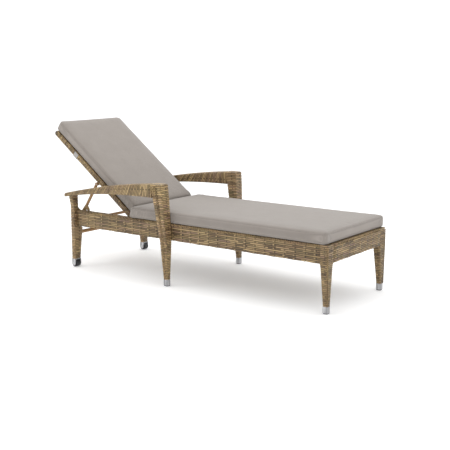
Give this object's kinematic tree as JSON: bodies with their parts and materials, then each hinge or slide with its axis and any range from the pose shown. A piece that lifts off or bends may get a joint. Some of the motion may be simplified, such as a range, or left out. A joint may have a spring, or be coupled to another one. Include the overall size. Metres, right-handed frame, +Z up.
{
  "type": "sun lounger",
  "caption": "Reclining sun lounger with a strand-woven frame, arched armrests, a tilting back on a notched prop, wheels at the head end and a long padded cushion",
  "frame": {"origin": "on the floor, under the middle of the lounger with its back raised", "axes": "+X towards the foot end, +Y to the left of the person lying on it, +Z up"},
  "size_m": [1.9652, 0.764, 0.8801],
  "materials": {
    "woven_strand": "satin synthetic strand, mixed tan, gold, brown and olive, hand woven",
    "frame_tube": "dark brown powder coat",
    "coated_tube": "wood-brown powder coat, satin",
    "steel_bracket": "bronze-brown powder coat, satin",
    "polished_cap": "polished",
    "glide_plastic": "moulded",
    "steel_pin": "bright zinc",
    "wheel_rubber": "smooth",
    "cushion_fabric": "woven outdoor cloth, taupe",
    "strap_webbing": "narrow elastic webbing, light grey"
  },
  "bodies": {
    "frame": {"side_rail_left": "woven_strand", "side_rail_right": "woven_strand", "front_rail": "woven_strand", "front_leg_left": "woven_strand", "front_leg_right": "woven_strand", "mid_leg_left": "woven_strand", "mid_leg_right": "woven_strand", "rear_leg_left": "woven_strand", "rear_leg_right": "woven_strand", "armrest_left": "woven_strand", "armrest_right": "woven_strand", "rail_tubes_left": "frame_tube", "rail_tubes_right": "frame_tube", "front_tubes": "frame_tube", "leg_tubes_left": "frame_tube", "leg_tubes_right": "frame_tube", "arm_tube_left": "frame_tube", "arm_tube_right": "frame_tube", "rear_stretcher": "coated_tube", "seat_deck": "woven_strand", "deck_slats": "frame_tube", "foot_cap_front_left": "polished_cap", "foot_cap_front_right": "polished_cap", "foot_cap_mid_left": "polished_cap", "foot_cap_mid_right": "polished_cap", "foot_glide_front_left": "glide_plastic", "foot_glide_front_right": "glide_plastic", "foot_glide_mid_left": "glide_plastic", "foot_glide_mid_right": "glide_plastic", "wheel_fork_left": "polished_cap", "wheel_fork_right": "polished_cap", "wheel_axle_left": "steel_pin", "wheel_axle_right": "steel_pin", "hinge_plate_left": "steel_bracket", "hinge_plate_right": "steel_bracket", "hinge_pin_left": "steel_pin", "hinge_pin_right": "steel_pin", "rack_left": "steel_bracket", "rack_right": "steel_bracket", "rack_bolts": "steel_pin", "seat_cushion": "cushion_fabric"},
    "backrest": {"back_side_left": "woven_strand", "back_side_right": "woven_strand", "back_top_rail": "woven_strand", "back_bottom_rail": "woven_strand", "back_panel": "woven_strand", "back_slats": "frame_tube", "prop_bracket_left": "steel_bracket", "prop_bracket_right": "steel_bracket", "prop_pin_left": "steel_pin", "prop_pin_right": "steel_pin", "back_cushion": "cushion_fabric", "cushion_strap": "strap_webbing"},
    "prop": {"prop_arm_left": "coated_tube", "prop_arm_right": "coated_tube", "prop_crossbar": "coated_tube"},
    "wheel_left_body": {"wheel_left": "wheel_rubber"},
    "wheel_right_body": {"wheel_right": "wheel_rubber"}
  },
  "joints": [
    {"name": "back_tilt", "type": "hinge", "parent": "frame", "child": "backrest", "pos_m": [-0.34839, 0, 0.3335], "axis": [0, 1, 0], "range_deg": [-37.1, 17.9]},
    {"name": "prop_swing", "type": "hinge", "parent": "backrest", "child": "prop", "pos_m": [-0.63766, 0, 0.51466], "axis": [0, -1, 0], "range_deg": [-92.75, 44.75]},
    {"name": "wheel_left_roll", "type": "hinge", "parent": "frame", "child": "wheel_left_body", "pos_m": [-0.78089, 0.3085, 0.022], "axis": [0, 1, 0], "continuous": true},
    {"name": "wheel_right_roll", "type": "hinge", "parent": "frame", "child": "wheel_right_body", "pos_m": [-0.78089, -0.3085, 0.022], "axis": [0, 1, 0], "continuous": true}
  ],
  "couplings": [
    {"joint": "prop_swing", "follows": "back_tilt", "ratio": 2.5}
  ]
}
